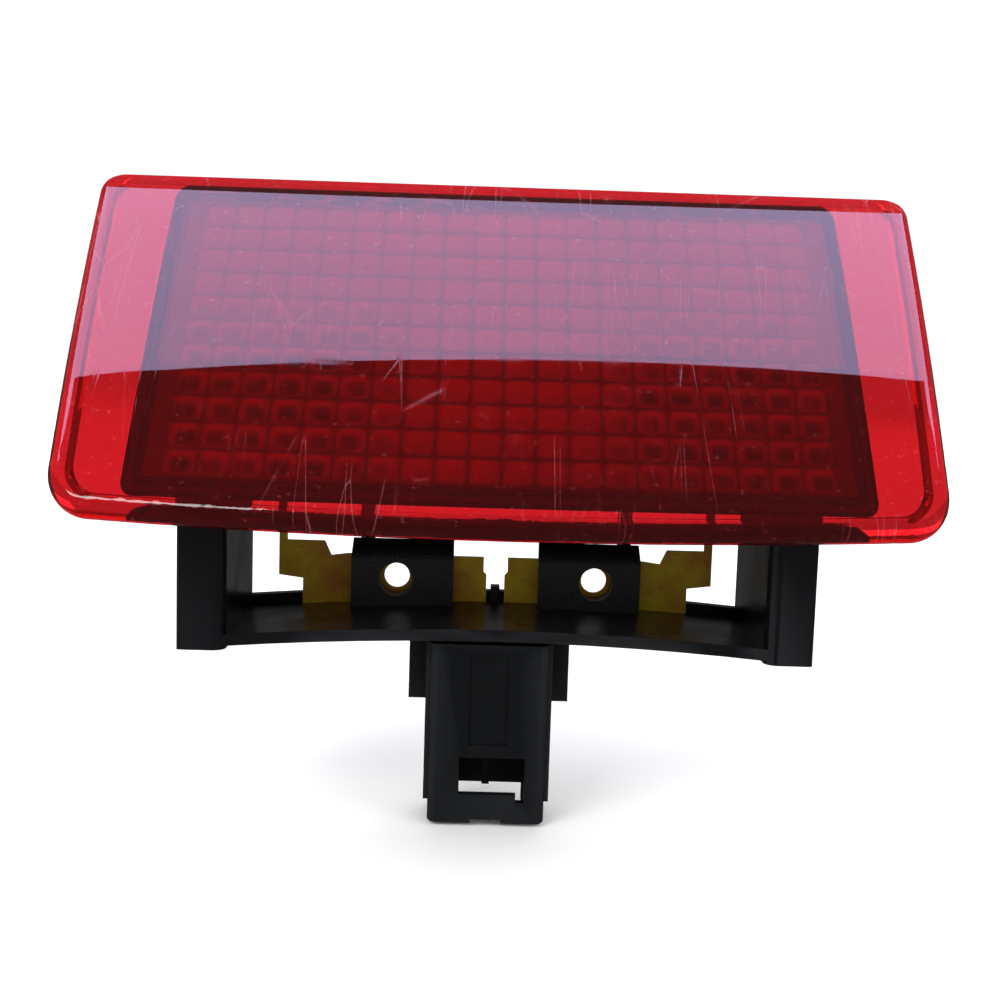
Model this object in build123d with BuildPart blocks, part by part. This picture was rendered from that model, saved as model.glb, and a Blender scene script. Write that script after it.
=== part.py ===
from build123d import *
import math
import os

# Third brake light: a leaning red lens on a black lamp housing, with a mounting frame
# and a two-way plug socket below it. Millimetres, +Z up, front of the lamp towards -Y.
# Origin: midway between the two screw holes, on the front faces of the screw bosses.

os.makedirs("parts", exist_ok=True)

# ---------------------------------------------------------------- driving sizes
# lens
lens_bottom_half = 66.4        # half width across the lower edge
lens_top_half = 69.0           # half width across the upper edge
lens_bottom = 10.8             # height of the lower lip
lens_front = -32.0             # depth of the lower lip
face_len = 67.3                # leaning face, lip to bevel
face_lean = 40.0               # mean lean of the face from upright
face_bow = 1.1                 # how far the face bows out of its chord
bevel_len = 5.6                # upper bevel
bevel_rise = 30.0              # bevel slope above level
lens_wall = 2.6
skirt_len = 8.0                # skirt length, front to back
lens_edge_r = 2.5              # rounded edge between face and skirt
corner_low_r = 7.0
corner_past = 0.8              # upper corner rounding starts this far below the bevel
plan_radius = 700.0            # the lens bows round a far axis behind it
plan_tilt = 8.0                # that axis leans forward
lip_lift = 1.3                 # the lower edge rises this much to the sides
brow_lift = 0.3                # and the upper edge this much

# lamp housing
box_half = 55.5                # half width of the lamp box
box_wall = 2.2
box_gap = 0.2                  # box to the inside of the lens skirt
box_behind = 11.89             # rear face of the box behind the top edge of the lens
seal_w = 0.8                   # sealing bead
seal_d = 1.0

# pillow optic behind the lens
optic_gap = 0.3
optic_t = 2.4
groove_w = 0.6
groove_d = 0.8
cell_pitch = 5.0
cell_margin = 2.0              # least plain margin round the cells

# mounting frame
leg_gap = 5.0                  # nut plate to the inside of a leg
leg_width = 7.3
leg_front = -19.0
frame_rear = 8.0
leg_bottom = -8.3
leg_edge_r = 2.0
shelf_front = -18.4
shelf_top = -4.1               # at the middle
shelf_t = 1.8
shelf_arch_r = 470.0
rib_h = 1.5
rib_t = 2.0

# screw bosses and nut plates
hole_half = 16.4               # half the screw spacing
hole_r = 2.75                  # M5 clearance
boss_inward = 9.4              # boss reaches this far from the hole, inwards
boss_outward = 7.3             # and outwards
boss_front_top = 3.8
boss_rear_top = 6.2
boss_t = 3.8
plate_t = 1.0
foot_gap = 0.03                # plate foot to the shelf
plate_hole_r = 2.1             # M5 tapping size
plate_in = 1.5
plate_body = 8.3               # plate beyond the boss, up to its shoulder
plate_tab = 12.3               # and to the outer end of its tab
tab_w = 1.3
peg_r = 1.0
peg_clear = 0.05
peg_head_r = 1.7
peg_head_t = 0.8

# plug socket
plug_x = -0.8
plug_half = 9.1
plug_front = -16.0
plug_rear = -3.0
plug_wall = 1.5
plug_top = -7.0
plug_bottom = -35.4
rib_out = 0.7                  # side ribs stand proud of the socket
rib_bottom = -32.0
tongue_out = 1.9
tongue_t = 2.0
collar_wall = 1.7              # collar outside the tongues of the socket
collar_front = -8.0
collar_rear = -1.0
collar_bottom = -17.6
ledge_t = 0.5
window_half = 5.1
window_top = -24.8
window_bottom = -30.7
notch_bottom = -32.3

# terminals
pin_half = 2.5                 # half the pin pitch
strip_w = 2.3
strip_t = 0.6
pin_tip = -24.4
strip_top = -9.2               # level of the run under the socket roof
strip_back = 6.6               # depth of the riser behind the bosses
strip_past = 5.1               # risers and pads stand this far outside the screw holes
pad_margin = 2.3               # flange past the pads
strip_end = 2.4                # pad reaches past the lamp axis

# bulb holder, twists about the lamp axis
lamp_z = 37.0
bore_r = 9.0
fit = 0.06
lug_out = 2.0                  # lugs past the bore
lug_gap = 0.3
lug_angle = 40.0
lug_turn = 50.0                # twist between locked and free
flange_gap = 1.2
flange_t = 2.0
ring_out = 2.0                 # seal ring under the flange, past the lugs
ring_wire = 0.58
barrel_len = 10.0              # barrel ahead of the rear face of the box
knob_half = 10.0
knob_t = 7.0
knob_len = 9.0
knob_r = 12.0

# bulb and reflector
bulb_r = 5.0
bulb_wall = 0.6
bulb_tip_r = 0.4               # sealed tip at the front of the glass
bulb_len = 17.0                # bulb ahead of the barrel
pinch_half = 4.0
pinch_t = 2.4
pinch_len = 8.0
lead_x = 2.4                   # lead wires stand this far from the lamp axis
lead_r = 0.25
fold_half = 0.4                # wire folded flat along the pinch
fold_t = 0.3
focal = 12.5
dish_t = 1.4
dish_half = 34.0
dish_clear = 1.5               # dish bore past the lugs
dish_gap = 0.8
post_past = 5.2                # reflector posts past the flange of the holder
post_r = 3.2
screw_r = 1.45
screw_clear = 0.05
screw_head_r = 3.0
screw_head_t = 1.8

# breather
vent_x = -40.0
vent_z = 50.0
vent_r = 4.0
vent_wall = 1.2
vent_len = 5.0

# ---------------------------------------------------------------- derived sizes
lean = math.radians(face_lean)
rise = math.radians(bevel_rise)
face_top_y = lens_front + face_len * math.sin(lean)
face_top_z = lens_bottom + face_len * math.cos(lean)
lens_top_y = face_top_y + bevel_len * math.cos(rise)
lens_top_z = face_top_z + bevel_len * math.sin(rise)
corner_high_r = bevel_len * math.sin(rise) + brow_lift + corner_past
wall_y = lens_wall / math.cos(lean)         # lens wall measured front to back
box_low = lens_bottom + lens_wall + lip_lift + box_gap
box_high = lens_top_z - lens_wall - box_gap
optic_front = wall_y + optic_gap
optic_rear = optic_front + optic_t
box_rear = lens_top_y + box_behind
box_inner_rear = box_rear - box_wall
cell_cols = 2 * int((box_half - box_wall - cell_margin) / cell_pitch)
cell_rows = int((face_len - cell_margin) / cell_pitch)
boss_in = hole_half - boss_inward
boss_out = hole_half + boss_outward
plate_body_out = boss_out + plate_body
plate_tab_out = boss_out + plate_tab
leg_inner = plate_tab_out + leg_gap
leg_outer = leg_inner + leg_width
collar_half = plug_half + tongue_out + collar_wall
strip_x = hole_half + strip_past
lug_r = bore_r + lug_out
ring_r = lug_r + ring_out
flange_r = strip_x + pad_margin
post_x = flange_r + post_past
dish_bore = lug_r + dish_clear
barrel_front = box_rear - barrel_len
bulb_front = barrel_front - bulb_len
plate_front = boss_t
plate_rear = plate_front + plate_t
plan_axis = Axis(
    (0, lens_front + plan_radius, lens_bottom),
    (0, -math.sin(math.radians(plan_tilt)), math.cos(math.radians(plan_tilt))),
)
sweep_angle = 2 * math.degrees((lens_top_half + 20) / plan_radius)
lamp_axis = Axis((0, 0, lamp_z), (0, 1, 0))


def shelf_level(x):
    """Height of the arched shelf's upper face at x."""
    return shelf_top - x * x / (2 * shelf_arch_r)


def save(name, builder):
    part = builder.part
    part.label = name
    export_step(part, f"parts/{name}.step")


# ---------------------------------------------------------------- shared shapes
def face_point(s, back):
    """Point on the bowed face, s along its chord from the lip, moved back by a distance."""
    bow = face_bow * (1 - (2 * s / face_len - 1) ** 2)
    return (
        lens_front + back + s * math.sin(lean) - bow * math.cos(lean),
        lens_bottom + s * math.cos(lean) + bow * math.sin(lean),
    )


def face_curve(back, extra=12.0):
    """Front curve of the lens moved back by a distance, carried on past both ends."""
    low = face_point(-extra, back)
    mid = face_point(face_len / 2, back)
    high = face_point(face_len, back)
    tip = (
        high[0] + (bevel_len + extra) * math.cos(rise),
        high[1] + (bevel_len + extra) * math.sin(rise),
    )
    return low, mid, high, tip


def leaning_layer(front, rear):
    """Solid between two copies of the face curve, bowed round the far axis."""
    with BuildPart() as layer:
        with BuildSketch(Plane.YZ):
            with BuildLine():
                low, mid, high, tip = face_curve(front)
                low2, mid2, high2, tip2 = face_curve(rear)
                ThreePointArc(low, mid, high)
                Line(high, tip)
                Line(tip, tip2)
                Line(tip2, high2)
                ThreePointArc(high2, mid2, low2)
                Line(low2, low)
            make_face()
        revolve(axis=plan_axis, revolution_arc=sweep_angle)
    return layer.part.rotate(plan_axis, -sweep_angle / 2)


def front_prism(inset, y_from, y_to, low_r=corner_low_r, high_r=corner_high_r):
    """The lens outline, seen from the front, pushed straight back."""
    dz = lens_top_z - lens_bottom
    slope = (lens_top_half - lens_bottom_half) / dz
    low_z = lens_bottom + inset
    high_z = lens_top_z - inset
    low_x = lens_bottom_half - inset + slope * inset
    high_x = lens_top_half - inset - slope * inset
    with BuildPart() as prism:
        with BuildSketch(Plane.XZ.offset(-y_from)):
            with BuildLine():
                low_side, high_side = low_z + lip_lift, high_z + brow_lift
                ThreePointArc((-low_x, low_side), (0, low_z), (low_x, low_side))
                Line((low_x, low_side), (high_x, high_side))
                ThreePointArc((high_x, high_side), (0, high_z), (-high_x, high_side))
                Line((-high_x, high_side), (-low_x, low_side))
            face = make_face()
            corners = face.vertices().sort_by(Axis.Z)
            fillet(corners[:2], max(low_r - inset, 0.8))
            corners = face.vertices().sort_by(Axis.Z)
        extrude(amount=-(y_to - y_from))
        top = prism.edges().filter_by(Axis.Y).group_by(Axis.Z)[-1]
        fillet(top, max(high_r - inset / 2, 0.8))
    return prism.part


def box_prism(inset, y_from, y_to, r=2.0):
    """The lamp box outline pushed straight back."""
    height = box_high - box_low - 2 * inset
    with BuildPart() as prism:
        with BuildSketch(Plane.XZ.offset(-y_from)):
            with Locations((0, (box_low + box_high) / 2)):
                RectangleRounded(2 * (box_half - inset), height, max(r - inset / 2, 0.4))
        extrude(amount=-(y_to - y_from))
    return prism.part


def block(x0, x1, y0, y1, z0, z1):
    """A rectangular block given by its limits."""
    shape = Box(x1 - x0, y1 - y0, z1 - z0, mode=Mode.PRIVATE)
    return Pos((x0 + x1) / 2, (y0 + y1) / 2, (z0 + z1) / 2) * shape


# ---------------------------------------------------------------- outer lens
lens_span = (lens_front - 20, lens_top_y + skirt_len + 20)
lens_outer = leaning_layer(0, skirt_len) & front_prism(0, *lens_span)
lens_hollow = leaning_layer(wall_y, skirt_len + 6) & front_prism(lens_wall, *lens_span)

with BuildPart() as outer_lens:
    add(lens_outer)
    long_face = outer_lens.faces().filter_by(lambda f: f.normal_at().Y < -0.7).sort_by(SortBy.AREA)[-1]
    bevel_edge = long_face.edges().sort_by(SortBy.LENGTH)[-1]
    rounded = [e for e in long_face.edges() if e.length > corner_high_r and not e.is_same(bevel_edge)]
    fillet(rounded, lens_edge_r)
    add(lens_hollow, mode=Mode.SUBTRACT)
save("outer_lens", outer_lens)

# ---------------------------------------------------------------- sealing bead
bead_in = (box_wall - seal_w) / 2
bead_ring = box_prism(bead_in, *lens_span) - box_prism(bead_in + seal_w, *lens_span)
bead = bead_ring & leaning_layer(wall_y, wall_y + seal_d)
with BuildPart() as lens_seal:
    add(bead)
save("lens_seal", lens_seal)


# ---------------------------------------------------------------- pillow optic
def optic_cutters():
    """Grooves that part the rear of the optic into square cells."""
    deep = leaning_layer(optic_rear - groove_d, optic_rear + 1.0)
    low_edge = (face_len - cell_rows * cell_pitch) / 2
    with BuildPart() as grid:
        for col in range(cell_cols + 1):
            x = (col - cell_cols / 2) * cell_pitch
            with Locations((x, 0, (lens_bottom + lens_top_z) / 2)):
                Box(groove_w, 120, 80)
        for row in range(1, cell_rows):
            s = low_edge + row * cell_pitch
            y = lens_front + s * math.sin(lean) + optic_rear
            z = lens_bottom + s * math.cos(lean)
            with Locations(Location((0, y, z), (-face_lean, 0, 0))):
                Box(2 * cell_cols * cell_pitch, 26, groove_w)
    return grid.part & deep


optic_plate = leaning_layer(optic_front, optic_rear) & box_prism(box_wall + 0.1, *lens_span)
optic_grooves = optic_cutters()

with BuildPart() as prism_lens:
    add(optic_plate)
    add(optic_grooves, mode=Mode.SUBTRACT)
save("prism_lens", prism_lens)


# ---------------------------------------------------------------- lamp housing
def shelf_band(x_half, low, high):
    """Closed outline that follows the arch of the shelf, given by its middle heights."""
    end = x_half * x_half / (2 * shelf_arch_r)
    with BuildSketch() as band:
        with BuildLine():
            ThreePointArc((-x_half, high - end), (0, high), (x_half, high - end))
            Line((x_half, high - end), (x_half, low - end))
            ThreePointArc((x_half, low - end), (0, low), (-x_half, low - end))
            Line((-x_half, low - end), (-x_half, high - end))
        make_face()
    return band.sketch


def leg(side):
    """One leg between the lamp box and the shelf, cored out from the rear."""
    mid = side * (leg_inner + leg_outer) / 2
    width = leg_outer - leg_inner
    with BuildPart() as one:
        with BuildSketch(Plane.XY.offset(leg_bottom)):
            with Locations((mid, (leg_front + frame_rear) / 2)):
                Rectangle(width, frame_rear - leg_front)
        extrude(amount=box_low - leg_bottom)
        front = one.edges().filter_by(Axis.Z).group_by(Axis.Y)[0].sort_by(Axis.X)
        fillet(front[0 if side > 0 else 1], leg_edge_r)
        outer = one.edges().filter_by(Axis.Z).group_by(Axis.Y)[0].sort_by(Axis.X)
        fillet(outer[-1 if side > 0 else 0], leg_edge_r / 3)
        with BuildSketch(Plane.XZ.offset(-frame_rear)):
            with Locations((mid, (leg_bottom + box_low) / 2)):
                Rectangle(width - 2 * box_wall, box_low - leg_bottom - 2 * box_wall)
        extrude(amount=frame_rear - leg_front - box_wall, mode=Mode.SUBTRACT)
    return one.part


def boss(side):
    """Screw boss with a sloping top, screw hole and two staking pegs."""
    mid = side * (boss_in + boss_out) / 2
    foot = shelf_level(boss_out) - shelf_t / 2
    with BuildPart() as one:
        with BuildSketch(Plane.YZ.offset(mid)):
            Polygon(
                (0, foot), (boss_t, foot), (boss_t, boss_rear_top), (0, boss_front_top),
                align=None,
            )
        extrude(amount=(boss_out - boss_in) / 2, both=True)
        top_front = one.edges().filter_by(Axis.X).group_by(Axis.Y)[0].sort_by(Axis.Z)[-1]
        fillet(top_front, 1.2)
        with Locations(Location((side * hole_half, boss_t / 2, 0), (90, 0, 0))):
            Cylinder(hole_r, boss_t * 2, mode=Mode.SUBTRACT)
        with BuildSketch(Plane.XZ.offset(-boss_t)):
            with Locations(*peg_spots(side)):
                Circle(peg_r)
        extrude(amount=-(plate_t + 0.02))
        with BuildSketch(Plane.XZ.offset(-(plate_rear + 0.02))):
            with Locations(*peg_spots(side)):
                Circle(peg_head_r)
        extrude(amount=-peg_head_t, taper=25)
    return one.part


def peg_spots(side):
    return [(side * (boss_in + 2.6), 0), (side * (boss_out - 2.2), 0)]


def collar():
    """Block below the shelf that grips the plug socket by its side tongues."""
    top = shelf_top - shelf_t / 2
    slot_out = plug_half + tongue_out + 0.1
    with BuildPart() as one:
        add(block(plug_x - collar_half, plug_x + collar_half, collar_front, collar_rear,
                  collar_bottom, top))
        add(block(plug_x - plug_half - rib_out - 0.1, plug_x + plug_half + rib_out + 0.1,
                  collar_front - 1, plug_rear, collar_bottom - 1, plug_top), mode=Mode.SUBTRACT)
        add(block(plug_x - slot_out, plug_x + slot_out,
                  tongue_y0 - 0.05, tongue_y1 + 0.05, collar_bottom + ledge_t, plug_top),
            mode=Mode.SUBTRACT)
        for side in (-1, 1):
            x = plug_x + side * pin_half
            add(block(x - strip_w / 2 - 0.1, x + strip_w / 2 + 0.1, plug_rear - 1, collar_rear + 1,
                      strip_top - strip_t - 0.1, strip_top + 0.1), mode=Mode.SUBTRACT)
        outer = one.edges().filter_by(Axis.Z).group_by(Axis.Y)[-1]
        fillet(outer, 1.0)
    return one.part


def bayonet_bore():
    """Round bore with three notches, cut through the rear wall."""
    with BuildPart() as one:
        with BuildSketch(Plane.XZ.offset(-(box_inner_rear - 1))):
            with Locations((0, lamp_z)):
                Circle(bore_r)
            add(lug_sectors(lug_r + 0.4, lug_angle + 6, -lug_turn))
        extrude(amount=-(box_wall + 2))
    return one.part


def lug_sectors(radius, width, turn):
    """Three ring sectors round the lamp axis, in the sketch plane of the rear wall."""
    with BuildSketch() as sectors:
        for k in range(3):
            mid = math.radians(90 + k * 120 + turn)
            half = math.radians(width / 2)
            with BuildLine():
                a = (radius * math.cos(mid - half), lamp_z + radius * math.sin(mid - half))
                b = (radius * math.cos(mid), lamp_z + radius * math.sin(mid))
                c = (radius * math.cos(mid + half), lamp_z + radius * math.sin(mid + half))
                Line((0, lamp_z), a)
                ThreePointArc(a, b, c)
                Line(c, (0, lamp_z))
            make_face()
    return sectors.sketch


tongue_y0 = (collar_front + plug_rear) / 2 - tongue_t / 2
tongue_y1 = tongue_y0 + tongue_t
box_solid = box_prism(0, lens_span[0], box_rear) & leaning_layer(wall_y, 90)
box_cavity = box_prism(box_wall, lens_span[0] - 1, box_inner_rear)
optic_ledge = leaning_layer(optic_rear, optic_rear + 2.0)
legs = [leg(side) for side in (-1, 1)]
bosses = [boss(side) for side in (-1, 1)]
plug_collar = collar()
bulb_bore = bayonet_bore()
shelf_outline = shelf_band(leg_inner + box_wall, shelf_top - shelf_t, shelf_top)
rib_outline = shelf_band(leg_inner + box_wall, shelf_top - shelf_t / 2, shelf_top + rib_h)

with BuildPart() as lamp_housing:
    add(box_solid)
    add(box_cavity, mode=Mode.SUBTRACT)
    add(bead, mode=Mode.SUBTRACT)
    # ledges that carry the optic
    for side in (-1, 1):
        x_in, x_out = sorted((side * (box_half - box_wall - 1.2), side * (box_half - box_wall + 0.5)))
        ledge = block(x_in, x_out, lens_span[0], box_inner_rear, box_low + 1, box_high - 1)
        add(ledge & optic_ledge)
    # frame
    add(legs)
    with BuildSketch(Plane.XZ.offset(-shelf_front)):
        add(shelf_outline)
    extrude(amount=-(frame_rear - shelf_front))
    with BuildSketch(Plane.XZ.offset(-(frame_rear - rib_t))):
        add(rib_outline)
    extrude(amount=-rib_t)
    add(bosses)
    # centre post between the plates
    add(block(-0.75, 0.75, plate_front + 0.3, frame_rear - rib_t + 0.5,
              shelf_top - shelf_t / 2, shelf_top + 2.6))
    add(plug_collar)
    # reflector screw holes, bulb bore, breather spout
    with BuildSketch(Plane.XZ.offset(-(box_inner_rear - 1))):
        with Locations((post_x, lamp_z), (-post_x, lamp_z)):
            Circle(screw_r + screw_clear)
    extrude(amount=-(box_wall + 2), mode=Mode.SUBTRACT)
    add(bulb_bore, mode=Mode.SUBTRACT)
    with BuildSketch(Plane.XZ.offset(-(box_rear - 0.5))):
        with Locations((vent_x, vent_z)):
            Circle(vent_r)
    extrude(amount=-(vent_len + 0.5))
    with BuildSketch(Plane.XZ.offset(-(box_rear + 1.0))):
        with Locations((vent_x, vent_z)):
            Circle(vent_r - vent_wall)
    extrude(amount=-vent_len, mode=Mode.SUBTRACT)
    with BuildSketch(Plane.XZ.offset(-(box_inner_rear - 1))):
        with Locations((vent_x, vent_z)):
            Circle(0.9)
    extrude(amount=-(box_wall + 3), mode=Mode.SUBTRACT)
    # slots that let the terminal risers through the shelf and its rib
    for side in (-1, 1):
        x = side * strip_x
        add(block(x - strip_w / 2 - 0.1, x + strip_w / 2 + 0.1, strip_back - 0.1,
                  strip_back + strip_t + 0.1, shelf_level(strip_x) - 4, shelf_top + 4),
            mode=Mode.SUBTRACT)
save("lamp_housing", lamp_housing)


# ---------------------------------------------------------------- nut plates
def nut_plate(side):
    """Sheet-metal nut plate staked to the rear of one boss."""
    def at(x, z):
        return (side * x, z)

    foot_mid_x = (plate_in + plate_body_out) / 2
    foot_in = shelf_level(plate_in) + foot_gap
    foot_out = shelf_level(plate_body_out) + foot_gap
    with BuildPart() as one:
        with BuildSketch(Plane.XZ.offset(-plate_front)):
            with BuildLine():
                Polyline(
                    at(plate_in, foot_in), at(plate_in, 0.4), at(plate_in + 0.5, 0.9),
                    at(plate_in + 0.5, 3.4), at(boss_out + 0.9, 3.4), at(boss_out + 3.7, 3.0),
                    at(boss_out + 4.8, 5.4), at(plate_tab_out - tab_w, 5.4),
                    at(plate_tab_out - tab_w, box_low),
                    at(plate_tab_out, box_low), at(plate_tab_out, -0.4),
                    at(plate_body_out, -0.9), at(plate_body_out, foot_out),
                )
                ThreePointArc(
                    at(plate_body_out, foot_out),
                    at(foot_mid_x, shelf_level(foot_mid_x) + foot_gap),
                    at(plate_in, foot_in),
                )
            make_face()
        extrude(amount=-plate_t)
        with BuildSketch(Plane.XZ.offset(-plate_front)):
            with Locations((side * hole_half, 0)):
                Circle(plate_hole_r)
            with Locations(*peg_spots(side)):
                Circle(peg_r + peg_clear)
        extrude(amount=-plate_t, mode=Mode.SUBTRACT)
    return one


for name, side in (("left_nut_plate", -1), ("right_nut_plate", 1)):
    save(name, nut_plate(side))

# ---------------------------------------------------------------- plug socket
with BuildPart() as plug_socket:
    add(block(plug_x - plug_half, plug_x + plug_half, plug_front, plug_rear, plug_bottom, plug_top))
    corners = plug_socket.edges().filter_by(Axis.Z)
    fillet(corners, 1.2)
    low_ring = plug_socket.edges().group_by(Axis.Z)[0]
    chamfer(low_ring, 0.4)
    for side in (-1, 1):
        x0, x1 = sorted((plug_x + side * (plug_half - 0.5), plug_x + side * (plug_half + rib_out)))
        add(block(x0, x1, plug_front + 1.4, plug_rear - 1.4, rib_bottom, plug_top))
        x0, x1 = sorted((plug_x + side * (plug_half - 0.5), plug_x + side * (plug_half + tongue_out)))
        add(block(x0, x1, tongue_y0, tongue_y1, collar_bottom + ledge_t, plug_top))
    inner = plug_half - plug_wall
    cav_front = plug_front + plug_wall
    cav_rear = plug_rear - plug_wall
    cav_top = strip_top - strip_t
    add(block(plug_x - inner, plug_x + inner, cav_front, cav_rear, plug_bottom - 1, cav_top),
        mode=Mode.SUBTRACT)
    # latch window, its corner nick, and the notch in the rear wall
    add(block(-window_half, window_half, plug_front - 1, cav_front + 0.2, window_bottom, window_top),
        mode=Mode.SUBTRACT)
    add(block(window_half - 1.3, window_half, plug_front - 1, cav_front + 0.2,
              window_bottom - 1.2, window_bottom + 0.2), mode=Mode.SUBTRACT)
    add(block(-window_half, window_half, cav_rear - 0.2, plug_rear + 1, plug_bottom - 1, notch_bottom),
        mode=Mode.SUBTRACT)
    # shallow channel down the front and the relief between the two feet
    add(block(plug_x - 3.0, plug_x + 3.0, plug_front - 1, plug_front + 0.4, window_top + 2, plug_top - 2),
        mode=Mode.SUBTRACT)
    add(block(plug_x - 2.4, plug_x + 2.4, plug_front - 1, cav_front + 0.2, plug_bottom - 1,
              plug_bottom + 0.7), mode=Mode.SUBTRACT)
    # strips pass up through slots and out through the rear wall
    for side in (-1, 1):
        x = plug_x + side * pin_half
        y_pin = (cav_front + cav_rear) / 2
        add(block(x - strip_w / 2, x + strip_w / 2, y_pin - strip_t / 2, plug_rear + 1,
                  cav_top - 0.01, strip_top), mode=Mode.SUBTRACT)
    # guide rib for the mating plug
    add(block(plug_x - 0.6, plug_x + 0.6, cav_rear - 1.2, cav_rear + 0.2, notch_bottom, -14))
save("plug_socket", plug_socket)

carrier_t = 3.2
with BuildPart() as pin_carrier:
    add(block(plug_x - inner, plug_x + inner, cav_front, cav_rear, cav_top - carrier_t, cav_top))
    y_pin = (cav_front + cav_rear) / 2
    for side in (-1, 1):
        x = plug_x + side * pin_half
        add(block(x - strip_w / 2, x + strip_w / 2, y_pin - strip_t / 2, y_pin + strip_t / 2,
                  cav_top - carrier_t - 1, cav_top + 1), mode=Mode.SUBTRACT)
save("pin_carrier", pin_carrier)


# ---------------------------------------------------------------- terminals
def terminal(side):
    """Pin and bent strip that carries current from the socket to the bulb holder."""
    pin_x = plug_x + side * pin_half
    far_x = side * strip_x
    half = strip_w / 2
    low = strip_top - strip_t
    lane = collar_rear + 0.8
    with BuildPart() as one:
        add(block(pin_x - half, pin_x + half, y_pin - strip_t / 2, y_pin + strip_t / 2,
                  pin_tip, strip_top))
        tip = one.edges().group_by(Axis.Z)[0].filter_by(Axis.X)
        chamfer(tip, strip_t * 0.4)
        add(block(pin_x - half, pin_x + half, y_pin - strip_t / 2, lane + strip_w, low, strip_top))
        x0, x1 = sorted((pin_x - side * half, far_x + side * half))
        add(block(x0, x1, lane, lane + strip_w, low, strip_top))
        add(block(far_x - half, far_x + half, lane, strip_back + strip_t, low, strip_top))
        add(block(far_x - half, far_x + half, strip_back, strip_back + strip_t, low, box_low))
        add(block(far_x - half, far_x + half, strip_back, box_rear + strip_t, box_low - strip_t, box_low))
        add(block(far_x - half, far_x + half, box_rear, box_rear + strip_t, box_low - strip_t,
                  lamp_z + strip_end))
    return one


for name, side in (("left_terminal", -1), ("right_terminal", 1)):
    save(name, terminal(side))

# ---------------------------------------------------------------- bulb holder
flange_front = box_rear + flange_gap
flange_rear = flange_front + flange_t
slot_half = pinch_half + 0.05
slot_t = pinch_t + 0.1
pinch_rear = barrel_front + pinch_len
contact_t = 0.4
nose_x = strip_x


def contact_space(side, grow):
    """Shape of one holder contact; grown slightly it also cuts its seat."""
    half_w = 1.2 + grow
    y_in = pinch_rear + 0.5 - grow
    z_in = lamp_z + side * (pinch_t / 2 + fold_t)
    z_out = z_in + side * contact_t
    za, zb = sorted((z_in, z_out))
    x_in = side * lead_x
    xa, xb = sorted((x_in - side * half_w, x_in + side * half_w))
    with BuildPart() as one:
        # leg beside the pinch of the bulb
        add(block(xa, xb, barrel_front + 1.0 - grow, y_in + contact_t, za - grow * (side < 0),
                  zb + grow * (side > 0)))
        # run out to the nose, inside the flange
        ya = flange_front + 0.4 - grow
        yb = flange_front + 0.4 + contact_t + grow
        add(block(xa, xb, min(y_in, ya), yb, za - grow * (side < 0), zb + grow * (side > 0)))
        x0, x1 = sorted((x_in - side * half_w, side * (nose_x + half_w)))
        z0, z1 = sorted((z_out, lamp_z - side * half_w))
        add(block(x0, x1, ya, yb, z0, z1))
    return one.part


def fold_seat(side):
    """Room in the holder for the folded lead wire beside the pinch."""
    z0, z1 = sorted((lamp_z - side * (lead_r + 0.05), lamp_z + side * (pinch_t / 2 + fold_t + 0.01)))
    x0, x1 = sorted((side * (lead_x - 1.2), side * (lead_x + 1.2)))
    return block(x0, x1, barrel_front - 1, pinch_rear + 0.5, z0, z1)


holder_lugs = lug_sectors(lug_r, lug_angle, 0)
fold_seats = [fold_seat(side) for side in (-1, 1)]
contact_seats = [contact_space(side, 0.03) for side in (-1, 1)]

with BuildPart() as bulb_holder:
    with BuildSketch(Plane.XZ.offset(-barrel_front)):
        with Locations((0, lamp_z)):
            Circle(bore_r - fit)
    extrude(amount=-(flange_front + 0.5 - barrel_front))
    lug_rear = box_inner_rear - lug_gap
    with BuildSketch(Plane.XZ.offset(-(lug_rear - 1.6))):
        add(holder_lugs)
    extrude(amount=-1.6)
    with BuildSketch(Plane.XZ.offset(-flange_front)):
        with Locations((0, lamp_z)):
            Circle(flange_r)
    extrude(amount=-flange_t)
    rim_edges = bulb_holder.edges().filter_by(GeomType.CIRCLE).group_by(Axis.Y)[-1]
    fillet(rim_edges, 0.6)
    # knob: a round stub with a grip across it
    with BuildSketch(Plane.XZ.offset(-flange_rear)):
        with Locations((0, lamp_z)):
            Circle(knob_r)
    extrude(amount=-1.6, taper=8)
    with BuildSketch(Plane.XZ.offset(-flange_rear)):
        with Locations((0, lamp_z)):
            RectangleRounded(2 * knob_half, knob_t, 1.5)
    extrude(amount=-knob_len, taper=3)
    # slot for the pinch of the bulb, open to the front
    with BuildSketch(Plane.XZ.offset(-(barrel_front - 1))):
        with Locations((0, lamp_z)):
            Rectangle(2 * slot_half, slot_t)
    extrude(amount=-(pinch_len + 1.2), mode=Mode.SUBTRACT)
    add(contact_seats, mode=Mode.SUBTRACT)
    add(fold_seats, mode=Mode.SUBTRACT)
    with BuildSketch(Plane.XZ.offset(-(flange_front - 1))):
        with Locations((nose_x, lamp_z), (-nose_x, lamp_z)):
            Circle(1.05)
    extrude(amount=-1.6, mode=Mode.SUBTRACT)
    # groove for the seal ring
    with BuildSketch(Plane.XY.offset(lamp_z)):
        with Locations((ring_r, box_rear + 0.05 + ring_wire)):
            Circle(ring_wire)
    revolve(axis=lamp_axis, mode=Mode.SUBTRACT)
save("bulb_holder", bulb_holder)

with BuildPart() as holder_seal:
    with BuildSketch(Plane.XY.offset(lamp_z)):
        with Locations((ring_r, box_rear + 0.05 + ring_wire)):
            Circle(ring_wire)
    revolve(axis=lamp_axis)
save("holder_seal", holder_seal)

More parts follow.
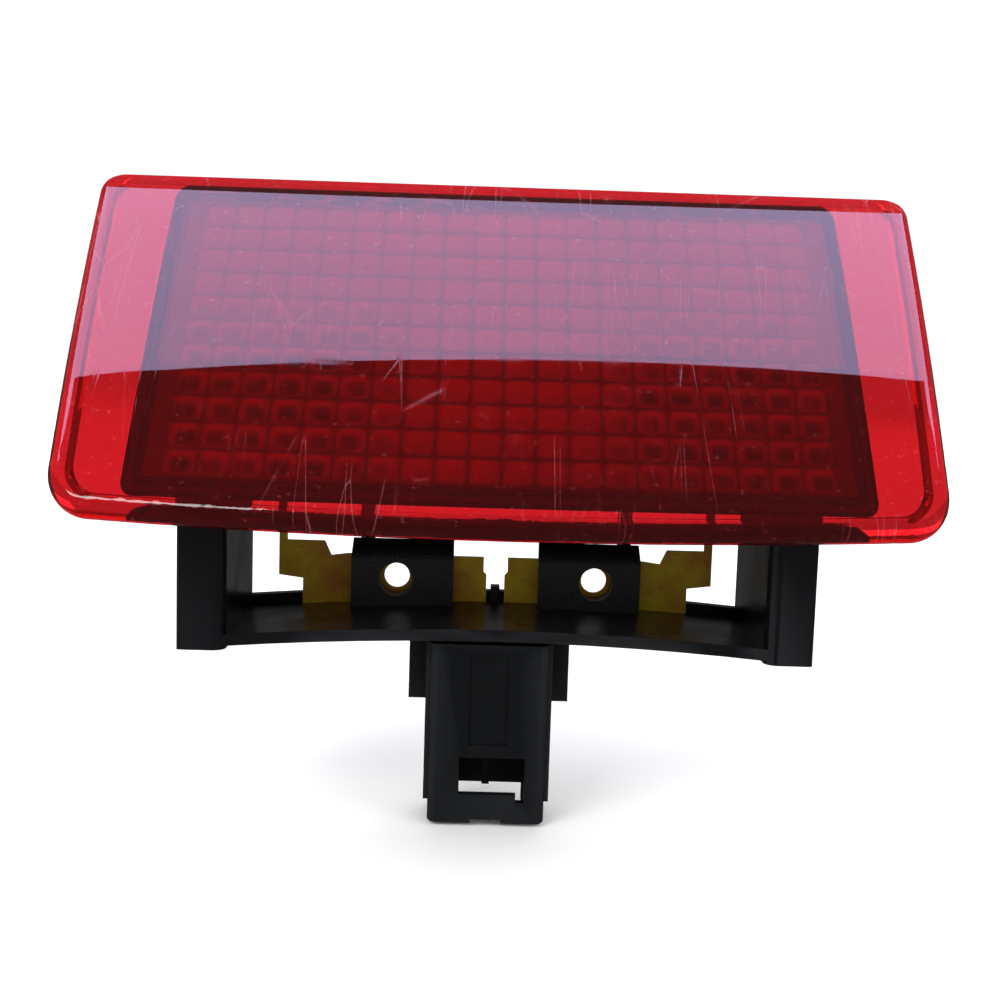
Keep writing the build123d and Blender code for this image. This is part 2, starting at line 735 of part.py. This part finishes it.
for name, side in (("left_contact", -1), ("right_contact", 1)):
    strip = contact_space(side, 0)
    with BuildPart() as contact:
        add(strip)
        with BuildSketch(Plane.XZ.offset(-(box_rear + strip_t + 0.05))):
            with Locations((side * nose_x, lamp_z)):
                Circle(0.5)
        extrude(amount=-(flange_gap + 0.4 - strip_t), taper=-12)
    save(name, contact)

# ---------------------------------------------------------------- bulb
bulb_back = barrel_front - 0.2
neck_r = 3.6


def bulb_outline(inset):
    """Half outline of the envelope, as radius and depth, drawn about the lamp axis."""
    r = bulb_r - inset
    front = bulb_front + inset
    back = bulb_back - inset
    tip_y = front + r - math.sqrt(r * r - bulb_tip_r * bulb_tip_r)
    with BuildSketch() as outline:
        with BuildLine():
            Polyline((0, tip_y), (0, back), (neck_r - inset, back), (r, back - 3.5 + inset / 2),
                     (r, front + r))
            ThreePointArc((r, front + r), (r * 0.70711, front + r * (1 - 0.70711)), (bulb_tip_r, tip_y))
            Line((bulb_tip_r, tip_y), (0, tip_y))
        make_face()
    return outline.sketch


envelope = bulb_outline(0)
envelope_hollow = bulb_outline(bulb_wall)

with BuildPart() as bulb_glass:
    with BuildSketch(Plane.XY.offset(lamp_z)):
        add(envelope)
    revolve(axis=lamp_axis)
    add(block(-pinch_half, pinch_half, bulb_back - 0.5, pinch_rear,
              lamp_z - pinch_t / 2, lamp_z + pinch_t / 2))
    with BuildSketch(Plane.XY.offset(lamp_z)):
        add(envelope_hollow)
    revolve(axis=lamp_axis, mode=Mode.SUBTRACT)
    with BuildSketch(Plane.XZ.offset(-(bulb_back - 2))):
        with Locations((lead_x, lamp_z), (-lead_x, lamp_z)):
            Circle(lead_r)
    extrude(amount=-(pinch_len + 4), mode=Mode.SUBTRACT)
save("bulb_glass", bulb_glass)

filament_y = box_inner_rear - dish_gap - focal
coil_r = 0.5
coil_wire = 0.14
coil_turns = 7
coil_len = 2 * (lead_x - lead_r)
lead_tip = filament_y - 0.35

for name, side in (("left_lead", -1), ("right_lead", 1)):
    x0, x1 = side * lead_x - fold_half, side * lead_x + fold_half
    side_z = lamp_z + side * pinch_t / 2
    turn_z = sorted((lamp_z - side * lead_r, side_z + side * fold_t))
    fold_z = sorted((side_z, side_z + side * fold_t))
    bend = block(x0, x1, pinch_rear, pinch_rear + fold_t, *turn_z)
    fold = block(x0, x1, barrel_front + 2.5, pinch_rear + fold_t, *fold_z)
    with BuildPart() as lead:
        with BuildSketch(Plane.XZ.offset(-lead_tip)):
            with Locations((side * lead_x, lamp_z)):
                Circle(lead_r)
        extrude(amount=-(pinch_rear + fold_t / 2 - lead_tip))
        add([bend, fold])
    save(name, lead)

with BuildPart() as filament:
    with BuildLine():
        coil = Helix(pitch=coil_len / coil_turns, height=coil_len, radius=coil_r,
                     center=(-coil_len / 2, filament_y, lamp_z), direction=(1, 0, 0))
    with BuildSketch(Plane(origin=coil @ 0, z_dir=coil % 0)):
        Circle(coil_wire)
    sweep(path=coil, is_frenet=True)
save("filament", filament)

with BuildPart() as glass_bead:
    with BuildSketch(Plane.YZ):
        with Locations((filament_y + 3.2, lamp_z)):
            Circle(0.8)
    extrude(amount=lead_x + 0.8, both=True)
    with BuildSketch(Plane.XZ.offset(-(filament_y + 1.5))):
        with Locations((lead_x, lamp_z), (-lead_x, lamp_z)):
            Circle(lead_r)
    extrude(amount=-3.4, mode=Mode.SUBTRACT)
save("glass_bead", glass_bead)


# ---------------------------------------------------------------- reflector
def dish(vertex_y):
    """Solid on the front side of a paraboloid with its vertex on the lamp axis."""
    reach = 46.0
    spots = [(r, vertex_y - r * r / (4 * focal)) for r in (0, reach / 4, reach / 2, reach * 0.75, reach)]
    with BuildPart() as one:
        with BuildSketch(Plane.XY.offset(lamp_z)):
            with BuildLine():
                Spline(*spots)
                Line(spots[-1], (0, spots[-1][1]))
                Line((0, spots[-1][1]), spots[0])
            make_face()
        revolve(axis=lamp_axis)
    return one.part


dish_y = box_inner_rear - dish_gap
dish_low = box_low + box_wall + 0.3
dish_high = box_high - box_wall - 0.3

dish_back = dish(dish_y)
dish_front = dish(dish_y - dish_t)
dish_trim = leaning_layer(-60, optic_rear + 0.5)

with BuildPart() as reflector:
    add(dish_back)
    with BuildSketch(Plane.XZ.offset(-box_inner_rear)):
        with Locations((post_x, lamp_z), (-post_x, lamp_z)):
            Circle(post_r)
    extrude(amount=box_inner_rear - (dish_y - post_x ** 2 / (4 * focal)) - 0.6)
    add(dish_front, mode=Mode.SUBTRACT)
    add(block(-dish_half, dish_half, -60, box_inner_rear, dish_low, dish_high), mode=Mode.INTERSECT)
    with BuildSketch(Plane.XZ.offset(-(dish_y + 1))):
        with Locations((0, lamp_z)):
            Circle(dish_bore)
    extrude(amount=30, mode=Mode.SUBTRACT)
    add(dish_trim, mode=Mode.SUBTRACT)
    with BuildSketch(Plane.XZ.offset(-box_inner_rear)):
        with Locations((post_x, lamp_z), (-post_x, lamp_z)):
            Circle(screw_r + screw_clear)
    extrude(amount=8.0, mode=Mode.SUBTRACT)
save("reflector", reflector)

with BuildPart() as reflector_screws:
    with BuildSketch(Plane.XZ.offset(-box_rear)):
        with Locations((post_x, lamp_z), (-post_x, lamp_z)):
            Circle(screw_head_r)
    extrude(amount=-screw_head_t)
    heads = reflector_screws.edges().filter_by(GeomType.CIRCLE).group_by(Axis.Y)[-1]
    fillet(heads, 0.9)
    with BuildSketch(Plane.XZ.offset(-box_rear)):
        with Locations((post_x, lamp_z), (-post_x, lamp_z)):
            Circle(screw_r)
    extrude(amount=box_wall + 7.0)
    with BuildSketch(Plane.XZ.offset(-(box_rear + screw_head_t))):
        with Locations((post_x, lamp_z), (-post_x, lamp_z)):
            Rectangle(3.2, 0.6)
            Rectangle(0.6, 3.2)
    extrude(amount=1.0, mode=Mode.SUBTRACT)
save("reflector_screws", reflector_screws)

# ---------------------------------------------------------------- breather
with BuildPart() as vent_plug:
    with BuildSketch(Plane.XZ.offset(-(box_rear + 1.0))):
        with Locations((vent_x, vent_z)):
            Circle(vent_r - vent_wall)
    extrude(amount=-(vent_len - 1.5))
save("vent_plug", vent_plug)
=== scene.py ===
import math

import bpy
import numpy as np
from mathutils import Matrix, Vector
from mathutils.bvhtree import BVHTree


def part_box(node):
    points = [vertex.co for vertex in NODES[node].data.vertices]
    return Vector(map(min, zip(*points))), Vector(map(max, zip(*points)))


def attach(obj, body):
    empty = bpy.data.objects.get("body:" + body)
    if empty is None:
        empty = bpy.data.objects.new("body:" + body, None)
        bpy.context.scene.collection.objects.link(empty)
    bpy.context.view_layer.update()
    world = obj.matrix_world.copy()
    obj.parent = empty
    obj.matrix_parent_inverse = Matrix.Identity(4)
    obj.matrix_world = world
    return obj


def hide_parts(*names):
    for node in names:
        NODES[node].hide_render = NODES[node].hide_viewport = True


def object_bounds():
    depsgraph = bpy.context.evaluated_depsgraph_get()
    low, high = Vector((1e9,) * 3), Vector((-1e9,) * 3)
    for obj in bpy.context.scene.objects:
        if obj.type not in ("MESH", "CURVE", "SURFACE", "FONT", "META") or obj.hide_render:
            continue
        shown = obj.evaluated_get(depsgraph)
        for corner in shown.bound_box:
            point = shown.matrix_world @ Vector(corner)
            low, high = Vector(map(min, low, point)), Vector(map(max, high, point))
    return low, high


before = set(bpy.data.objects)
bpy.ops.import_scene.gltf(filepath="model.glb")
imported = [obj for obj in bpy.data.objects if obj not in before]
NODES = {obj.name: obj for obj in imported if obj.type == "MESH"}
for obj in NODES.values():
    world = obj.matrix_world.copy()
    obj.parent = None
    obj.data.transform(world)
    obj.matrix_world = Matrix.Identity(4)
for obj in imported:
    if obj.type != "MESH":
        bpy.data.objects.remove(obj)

CAD_BOX = [list(c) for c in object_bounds()]
MM = 0.001


# ------------------------------------------------------------------ materials
ACRYLIC_IOR, GLASS_IOR = 1.49, 1.5
FINE_RELIEF = 0.02 * MM        # grain of plastic and brush marks of metal
WAVE_RELIEF = 0.08 * MM        # slow waves and scratches in the acrylic
FOAM_RELIEF = 0.2 * MM
SCRATCH_WIDTH = 0.010          # in units of the pattern's own cells
# colour of the painted shade mixed into the inner optic
PAINTED_SHADE_RED = (0.06, 0.0, 0.002)
SCUFF_PINK = (0.75, 0.45, 0.48)


class Tree:
    """Small helper that adds nodes to one material."""

    def __init__(self, name):
        self.mat = bpy.data.materials.new(name)
        self.mat.use_nodes = True
        self.nt = self.mat.node_tree
        self.nt.nodes.clear()
        self.out = self.nt.nodes.new("ShaderNodeOutputMaterial")
        self.bsdf = self.nt.nodes.new("ShaderNodeBsdfPrincipled")
        self.nt.links.new(self.bsdf.outputs[0], self.out.inputs[0])
        self.coord = self.nt.nodes.new("ShaderNodeTexCoord").outputs["Object"]

    def link(self, a, b):
        self.nt.links.new(a, b)

    def set(self, **values):
        for key, value in values.items():
            self.bsdf.inputs[key.replace("_", " ")].default_value = value

    def mapped(self, scale=(1, 1, 1), rotation=(0, 0, 0)):
        n = self.nt.nodes.new("ShaderNodeMapping")
        n.inputs["Scale"].default_value = scale
        n.inputs["Rotation"].default_value = rotation
        self.link(self.coord, n.inputs["Vector"])
        return n.outputs[0]

    def noise(self, scale, detail=3.0, rough=0.55, vector=None, distortion=0.0):
        n = self.nt.nodes.new("ShaderNodeTexNoise")
        n.inputs["Scale"].default_value = scale
        n.inputs["Detail"].default_value = detail
        n.inputs["Roughness"].default_value = rough
        n.inputs["Distortion"].default_value = distortion
        self.link(vector if vector is not None else self.coord, n.inputs["Vector"])
        return n.outputs["Fac"]

    def cell_borders(self, scale, vector):
        """Distance to the nearest border of an irregular cell pattern."""
        n = self.nt.nodes.new("ShaderNodeTexVoronoi")
        n.feature = "DISTANCE_TO_EDGE"
        n.inputs["Scale"].default_value = scale
        self.link(vector, n.inputs["Vector"])
        return n.outputs["Distance"]

    def remap(self, value, a, b, c, d):
        n = self.nt.nodes.new("ShaderNodeMapRange")
        n.clamp = True
        for key, v in (("From Min", a), ("From Max", b), ("To Min", c), ("To Max", d)):
            n.inputs[key].default_value = v
        self.link(value, n.inputs["Value"])
        return n.outputs[0]

    def math(self, op, a, b=None):
        n = self.nt.nodes.new("ShaderNodeMath")
        n.operation = op
        for i, v in enumerate((a, b)):
            if v is None:
                continue
            if isinstance(v, (int, float)):
                n.inputs[i].default_value = v
            else:
                self.link(v, n.inputs[i])
        return n.outputs[0]

    def mix(self, fac, a, b):
        n = self.nt.nodes.new("ShaderNodeMix")
        n.data_type = "RGBA"
        for i, v in ((0, fac), (6, a), (7, b)):
            if isinstance(v, (int, float)):
                n.inputs[i].default_value = v
            elif isinstance(v, tuple):
                n.inputs[i].default_value = (*v, 1) if len(v) == 3 else v
            else:
                self.link(v, n.inputs[i])
        return n.outputs[2]

    def bump(self, height, strength, distance):
        n = self.nt.nodes.new("ShaderNodeBump")
        n.inputs["Strength"].default_value = strength
        n.inputs["Distance"].default_value = distance
        self.link(height, n.inputs["Height"])
        self.link(n.outputs[0], self.bsdf.inputs["Normal"])

    def edges(self):
        """1 on outer edges and 0 elsewhere."""
        g = self.nt.nodes.new("ShaderNodeNewGeometry")
        return self.remap(g.outputs["Pointiness"], 0.52, 0.60, 0.0, 1.0)


def moulded(name, base, rough, grain=900, grain_depth=FINE_RELIEF, dust=0.25):
    """Moulded plastic: fine grain, soft patches of sheen, dust and pale rubbed edges."""
    t = Tree(name)
    t.set(Specular_IOR_Level=0.35)
    patch = t.noise(70, 4)
    fine = t.noise(grain, 2)
    dusty = t.remap(t.noise(160, 5, 0.7), 0.52, 0.72, 0.0, dust)
    grey = tuple(min(1, c * 1.5 + 0.02) for c in base)
    colour = t.mix(dusty, base, grey)
    rubbed = tuple(min(1, c * 2.2 + 0.012) for c in base)
    colour = t.mix(t.math("MULTIPLY", t.edges(), 0.5), colour, rubbed)
    t.link(colour, t.bsdf.inputs["Base Color"])
    rough_map = t.remap(patch, 0.35, 0.65, *rough)
    t.link(t.math("ADD", rough_map, t.math("MULTIPLY", dusty, 0.4)), t.bsdf.inputs["Roughness"])
    t.bump(t.math("ADD", t.math("MULTIPLY", fine, 0.5), t.noise(250, 3)), 0.35, grain_depth)
    return t.mat


def metal(name, base, alt, rough, brushed=(1, 1, 1), spots=0.3, metallic=1.0):
    """Metal with brush marks, colour drift and small dull spots."""
    t = Tree(name)
    t.set(Metallic=metallic)
    drift = t.remap(t.noise(90, 4, 0.6), 0.38, 0.66, 0.0, 1.0)
    colour = t.mix(drift, base, alt)
    speck = t.remap(t.noise(520, 3, 0.6), 0.60, 0.70, 0.0, spots)
    colour = t.mix(speck, colour, tuple(c * 0.35 for c in alt))
    t.link(colour, t.bsdf.inputs["Base Color"])
    lines = t.noise(260, 4, 0.6, t.mapped(brushed))
    r = t.remap(lines, 0.3, 0.7, *rough)
    t.link(t.math("ADD", r, t.math("MULTIPLY", speck, 0.5)), t.bsdf.inputs["Roughness"])
    t.bump(lines, 0.25, FINE_RELIEF)
    return t.mat


def scratches(t, scale, turn):
    """Long thin lines with a common lean, 1 on a line and 0 elsewhere."""
    lines = t.cell_borders(scale, t.mapped((1, 0.12, 0.12), turn))
    gate = t.remap(t.noise(55, 3), 0.53, 0.63, 0.0, 1.0)
    return t.math("MULTIPLY", t.remap(lines, 0.0, SCRATCH_WIDTH, 1.0, 0.0), gate)


def red_clear(name, base, rough, wear, clearness, shade=None):
    """Red acrylic with handling marks, smears and dust; the shade attribute, if any, darkens it
    with painted shade and a random tone per cell.
    """
    t = Tree(name)
    t.set(IOR=ACRYLIC_IOR)
    marks = t.math("ADD", scratches(t, 120, (0.2, 0.5, 0.9)), scratches(t, 190, (1.1, -0.4, 0.3)))
    smear = t.remap(t.noise(60, 5, 0.65, distortion=0.6), 0.50, 0.72, 0.0, 1.0)
    dust = t.remap(t.noise(900, 2, 0.6), 0.66, 0.72, 0.0, 1.0)
    tone = t.remap(t.noise(22, 2), 0.35, 0.65, 0.0, 1.0)
    tint = t.mix(tone, base, tuple(c * 0.9 for c in base))
    if shade:
        # painted shade and random tone from the shade attribute, mixed towards the painted shade
        # red
        n = t.nt.nodes.new("ShaderNodeAttribute")
        n.attribute_name = shade
        tint = t.mix(n.outputs["Fac"], tint, PAINTED_SHADE_RED)
    pale = t.math("MULTIPLY", t.math("ADD", marks, t.math("MULTIPLY", dust, 0.5)), wear)
    t.link(t.mix(pale, tint, SCUFF_PINK), t.bsdf.inputs["Base Color"])
    t.link(t.math("SUBTRACT", clearness, t.math("MULTIPLY", pale, 0.8 * clearness)),
           t.bsdf.inputs["Transmission Weight"])
    spread = t.math("ADD", t.math("MULTIPLY", smear, wear * 0.2), t.math("MULTIPLY", marks, wear))
    t.link(t.math("ADD", spread, rough), t.bsdf.inputs["Roughness"])
    t.bump(t.math("SUBTRACT", t.noise(35, 2), t.math("MULTIPLY", marks, 0.6)), 0.05, WAVE_RELIEF)
    return t.mat


def clear(name, base, rough):
    """Bulb glass with a slight uneven haze."""
    t = Tree(name)
    t.set(Transmission_Weight=1.0, IOR=GLASS_IOR)
    haze = t.remap(t.noise(300, 3), 0.4, 0.7, rough, rough + 0.06)
    t.link(haze, t.bsdf.inputs["Roughness"])
    t.link(t.mix(t.noise(200, 2), base, tuple(c * 0.94 for c in base)), t.bsdf.inputs["Base Color"])
    return t.mat


MATERIALS = {
    "outer_lens": red_clear("red_lens", (0.47, 0.006, 0.010), 0.008, 0.26, 0.96),
    # the inner optic's shade attribute darkens it with painted shade
    "prism_lens": red_clear("red_optic", (1.0, 0.020, 0.030), 0.05, 0.02, 0.30, "shade"),
    "lens_seal": moulded("sealant", (0.03, 0.03, 0.03), (0.5, 0.7)),
    "lamp_housing": moulded("black_plastic", (0.0030, 0.0034, 0.0042), (0.20, 0.36), dust=0.05),
    "plug_socket": moulded("socket_plastic", (0.0028, 0.0036, 0.0048), (0.24, 0.42), dust=0.06),
    "pin_carrier": moulded("carrier_plastic", (0.03, 0.03, 0.033), (0.4, 0.6)),
    "bulb_holder": moulded("holder_plastic", (0.035, 0.035, 0.038), (0.4, 0.6)),
    "holder_seal": moulded("ring_rubber", (0.02, 0.02, 0.02), (0.55, 0.75)),
    "vent_plug": moulded("vent_foam", (0.16, 0.16, 0.16), (0.8, 0.95), 1500, FOAM_RELIEF),
    "reflector": metal("metallised", (0.86, 0.86, 0.87), (0.80, 0.80, 0.83), (0.06, 0.16),
                       spots=0.05),
    "reflector_screws": metal("zinc_steel", (0.62, 0.63, 0.65), (0.52, 0.54, 0.58), (0.25, 0.4)),
    "nut_plate": metal("yellow_zinc", (0.50, 0.37, 0.016), (0.36, 0.13, 0.016), (0.26, 0.46),
                       (1, 1, 9), 0.25, metallic=0.6),
    "terminal": metal("terminal_brass", (0.72, 0.56, 0.28), (0.62, 0.46, 0.22), (0.2, 0.38),
                      (9, 1, 1), 0.2),
    "contact": metal("contact_brass", (0.76, 0.60, 0.30), (0.66, 0.50, 0.25), (0.2, 0.35),
                     (9, 1, 1), 0.2),
    "bulb_glass": clear("bulb_glass", (0.97, 0.98, 0.98), 0.0),
    "glass_bead": clear("bead_glass", (0.85, 0.92, 0.90), 0.02),
    "filament": metal("tungsten", (0.32, 0.32, 0.34), (0.24, 0.24, 0.26), (0.3, 0.5)),
    "lead": metal("lead_wire", (0.60, 0.56, 0.50), (0.5, 0.46, 0.42), (0.25, 0.4)),
}


def dress(node):
    """Give a CAD node its own material, or the one that its left and right copies share."""
    key = node if node in MATERIALS else node.split("_", 1)[1]
    NODES[node].data.materials.clear()
    NODES[node].data.materials.append(MATERIALS[key])


for node in NODES:
    dress(node)


# ------------------------------------------------------------------ pillow optic
CELL = 5.0 * MM                # cell pitch, across and along the leaning face
COLUMNS, ROWS = 20, 11
STEPS = 10                     # mesh steps across one cell
CROWN = 1.25 * MM              # height of one pillow
EDGE_FLAT = 0.3 * MM           # margin between the sheet's edge and the CAD optic's
THICK_MOST = 2.3 * MM
ROUND_CORNER = (1.0, 0.99, 0.98, 0.96, 0.93)   # shares of a point's place tried at a corner
RAY_START = 0.05               # rays start this far in front of the optic
BORDER_PAINTED_SHADE = 0.80                  # painted shade in the valley at a cell's border BORDER_FROM = 0.60 # how far down its crown the painted border shade begins
BORDER_FROM = 0.60             # how far down its crown the border begins
MIDDLE_PAINTED_SHADE = 1.1                   # painted shade in the middle of an outer cell, standing in for the dark housing behind it
MIDDLE_ASIDE = 9 * MM, 27 * MM     # the painted shade comes in over these distances from the centre
MIDDLE_UP = -4 * MM, 12 * MM       # and fades over these heights along the face
MIDDLE_WIDE = 0.16, 0.46       # soft edge of the painted shade in the middle, in cells
MIDDLE_HIGH = 0.14, 0.44
MIDDLE_DROP = 0.06
RIM_PAINTED_SHADE = 0.35               # painted shade of the sheet outside the cells


def smooth(a, b, x):
    """0 below a, 1 above b, and an even rise between."""
    f = min(1.0, max(0.0, (x - a) / (b - a)))
    return f * f * (3 - 2 * f)


def cell_tone_and_painted_shade(x, s, u, v, dome):
    """How dark one point of a cell is: painted shade in its border valley and in the middle of the
    outer cells, plus a random tone per cell.
    """
    # painted shade in the valleys between the pillows
    border = smooth(BORDER_FROM, 1.0, 1 - dome)
    column, row = int(round(x / CELL - u)), int(round(s / CELL - v))
    rng = np.random.default_rng(abs(column * 97 + row * 13 + 5000))
    # painted shade in the middle of the outer cells, fading towards the top
    aside = smooth(*MIDDLE_ASIDE, abs(x)) * (1 - 0.75 * smooth(*MIDDLE_UP, s))
    shift = rng.uniform(-0.08, 0.08)
    square = 1 - smooth(*MIDDLE_WIDE, abs(u + shift))
    square *= 1 - smooth(*MIDDLE_HIGH, abs(v + MIDDLE_DROP))
    middle = MIDDLE_PAINTED_SHADE * aside * square * rng.uniform(0.6, 1.0)
    return min(1.0, BORDER_PAINTED_SHADE * border + middle + rng.uniform(0, 0.10))


def pillow_optic():
    """The inner lens as a sheet of square pillows, on the front of its CAD solid."""
    low, high = (np.array(c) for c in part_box("prism_lens"))
    tree = BVHTree.FromObject(NODES["prism_lens"], bpy.context.evaluated_depsgraph_get())
    z_mid = (low[2] + high[2]) / 2

    def front(x, z):
        """Depth of the CAD optic's front here, or a little inwards past its rounded corners."""
        for shrink in ROUND_CORNER:
            start = Vector((x * shrink, low[1] - RAY_START, z_mid + (z - z_mid) * shrink))
            hit = tree.ray_cast(start, Vector((0, 1, 0)))[0]
            if hit:
                return hit.y
        raise ValueError("no optic here")

    z_low, z_high = low[2] + EDGE_FLAT, high[2] - EDGE_FLAT
    y_low, y_high = front(0, z_low), front(0, z_high)
    along = math.hypot(y_high - y_low, z_high - z_low)
    x_half = high[0] - EDGE_FLAT
    x_edge, s_edge = COLUMNS / 2 * CELL, ROWS / 2 * CELL
    xs = [-x_half, *np.linspace(-x_edge, x_edge, COLUMNS * STEPS + 1), x_half]
    ss = [-along / 2, *np.linspace(-s_edge, s_edge, ROWS * STEPS + 1), along / 2]
    zs = [z_low + (s / along + 0.5) * (z_high - z_low) for s in ss]
    n_x, n_s = len(xs) - 1, len(ss) - 1
    deep = (high[1] - low[1]) - (front(0, z_high) - front(0, z_low))
    thick = min(deep, THICK_MOST)
    verts, faces, tones_and_painted_shades = [], [], []
    for z, s in zip(zs, ss):
        for x in xs:
            u = (x / CELL + COLUMNS / 2) % 1 - 0.5
            v = (s / CELL + ROWS / 2) % 1 - 0.5
            inside = abs(x) < x_edge * 1.001 and abs(s) < s_edge * 1.001
            dome = max(0.0, (1 - (2 * u) ** 2) * (1 - (2 * v) ** 2)) if inside else 0.0
            verts.append((x, front(x, z) + CROWN * (1 - dome ** 0.8), z))
            tones_and_painted_shades.append(cell_tone_and_painted_shade(x, s, u, v, dome) if inside else RIM_PAINTED_SHADE)
    count = len(verts)
    verts += [(x, front(x, z) + thick, z) for x, _, z in verts]
    wide = n_x + 1
    for r in range(n_s):
        for c in range(n_x):
            a = r * wide + c
            faces.append((a, a + 1, a + wide + 1, a + wide))
            faces.append((count + a, count + a + wide, count + a + wide + 1, count + a + 1))
    rim = list(range(wide)) + [r * wide + n_x for r in range(1, n_s + 1)]
    rim += [n_s * wide + c for c in range(n_x - 1, -1, -1)]
    rim += [r * wide for r in range(n_s - 1, 0, -1)]
    for a, b in zip(rim, rim[1:] + rim[:1]):
        faces.append((a, count + a, count + b, b))
    mesh = bpy.data.meshes.new("pillow_optic")
    mesh.from_pydata(verts, [], faces)
    mesh.update()
    for poly in mesh.polygons:
        poly.use_smooth = poly.index < 2 * n_s * n_x
    mesh.materials.append(MATERIALS["prism_lens"])
    # the shade attribute holds painted shade and a random tone per cell
    mesh.attributes.new("shade", "FLOAT", "POINT").data.foreach_set("value", tones_and_painted_shades + tones_and_painted_shades)
    piece = bpy.data.objects.new("pillow_optic", mesh)
    bpy.context.scene.collection.objects.link(piece)
    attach(piece, "lamp")
    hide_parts("prism_lens")


pillow_optic()

# ------------------------------------------------------------------ camera
CAM_POS = Vector((-4.02, -229.24, 41.3)) * MM
YAW, PITCH, ROLL = (math.radians(a) for a in (1.072, 6.894, 1.837))
FOCAL_LENGTH, SENSOR_WIDTH = 51.05, 36.0     # millimetres
NEAR_CLIP = 0.005
forward = Vector((
    math.sin(YAW) * math.cos(PITCH), math.cos(YAW) * math.cos(PITCH), -math.sin(PITCH)
))
right = Vector((math.cos(YAW), -math.sin(YAW), 0))
up = right.cross(forward)
right, up = (right * math.cos(ROLL) + up * math.sin(ROLL),
             up * math.cos(ROLL) - right * math.sin(ROLL))
cam = bpy.data.objects.new("camera", bpy.data.cameras.new("camera"))
cam.data.lens = FOCAL_LENGTH
cam.data.sensor_width = SENSOR_WIDTH
cam.data.clip_start = NEAR_CLIP
cam.matrix_world = Matrix((
    (right.x, up.x, -forward.x, CAM_POS.x),
    (right.y, up.y, -forward.y, CAM_POS.y),
    (right.z, up.z, -forward.z, CAM_POS.z),
    (0, 0, 0, 1),
))
bpy.context.scene.collection.objects.link(cam)
bpy.context.scene.camera = cam

# ------------------------------------------------------------------ stage and lights
FLOOR_SIZE = 12.0
FLOOR_LEVEL = CAD_BOX[0][2] - 0.0005
FLOOR_WHITE = (0.97, 0.97, 0.97)


def make_floor():
    """A wide matt white floor just under the lamp, kept out of reflections."""
    mesh = bpy.data.meshes.new("floor")
    h, z = FLOOR_SIZE / 2, FLOOR_LEVEL
    mesh.from_pydata([(-h, -h, z), (h, -h, z), (h, h, z), (-h, h, z)], [], [(0, 1, 2, 3)])
    o = bpy.data.objects.new("floor", mesh)
    bpy.context.scene.collection.objects.link(o)
    t = Tree("floor")
    shaded = tuple(c * 0.99 for c in FLOOR_WHITE)
    t.link(t.mix(t.noise(3, 3), FLOOR_WHITE, shaded), t.bsdf.inputs["Base Color"])
    t.link(t.remap(t.noise(8, 3), 0.3, 0.7, 0.75, 0.9), t.bsdf.inputs["Roughness"])
    mesh.materials.append(t.mat)
    o.visible_glossy = False


make_floor()

SKY_COLOUR = (0.62, 0.60, 1.0)
SKY_TURN = math.radians(2.5)   # turns the edge of its reflection level with the lens


def area(name, place, target, size, power, colour=(1, 1, 1), **seen):
    """A rectangular light aimed at a point; seen turns off what it shows in, such as glossy."""
    light = bpy.data.lights.new(name, "AREA")
    light.shape = "RECTANGLE"
    light.size, light.size_y = size
    light.energy = power
    light.color = colour
    o = bpy.data.objects.new(name, light)
    o.location = place
    o.rotation_euler = (Vector(target) - Vector(place)).to_track_quat("-Z", "Y").to_euler()
    bpy.context.scene.collection.objects.link(o)
    for key, value in seen.items():
        setattr(o, "visible_" + key, value)
    return o


area("key", (-0.5, -0.7, 0.62), (0, 0, 0.02), (0.5, 0.25), 4)
area("fill", (0.7, -0.6, 0.3), (0, 0, 0.0), (0.5, 0.3), 1.5, glossy=False)
area("rear", (0.2, 0.9, 0.6), (0, 0, 0.02), (0.9, 0.6), 4, glossy=False)
panel = area("sky_panel", (0, 0.20, 1.0), (0, 0.20, 0), (1.9, 0.81), 29, SKY_COLOUR, diffuse=False)
panel.rotation_euler = (0, 0, SKY_TURN)

# Strength of the surroundings, by what looks at them.
TO_CAMERA = 1.1
THROUGH_GLASS = 1.0
IN_REFLECTIONS = 0.10
AS_LIGHT = 1.2


def studio_world():
    """White to the camera, soft white as light, dim in reflections."""
    world = bpy.data.worlds.new("studio")
    bpy.context.scene.world = world
    world.use_nodes = True
    nt = world.node_tree
    nt.nodes.clear()
    out = nt.nodes.new("ShaderNodeOutputWorld")
    back = nt.nodes.new("ShaderNodeBackground")
    path = nt.nodes.new("ShaderNodeLightPath")
    back.inputs["Color"].default_value = (0.98, 0.985, 1.0, 1)

    def choose(test, yes, no):
        n = nt.nodes.new("ShaderNodeMix")
        n.data_type = "FLOAT"
        for i, v in ((0, test), (2, no), (3, yes)):
            if isinstance(v, float):
                n.inputs[i].default_value = v
            else:
                nt.links.new(v, n.inputs[i])
        return n.outputs[0]

    mirrored = choose(path.outputs["Is Glossy Ray"], IN_REFLECTIONS, AS_LIGHT)
    through = choose(path.outputs["Is Transmission Ray"], THROUGH_GLASS, mirrored)
    strength = choose(path.outputs["Is Camera Ray"], TO_CAMERA, through)
    nt.links.new(strength, back.inputs["Strength"])
    nt.links.new(back.outputs[0], out.inputs[0])


studio_world()
bpy.context.scene.view_settings.view_transform = "Standard"
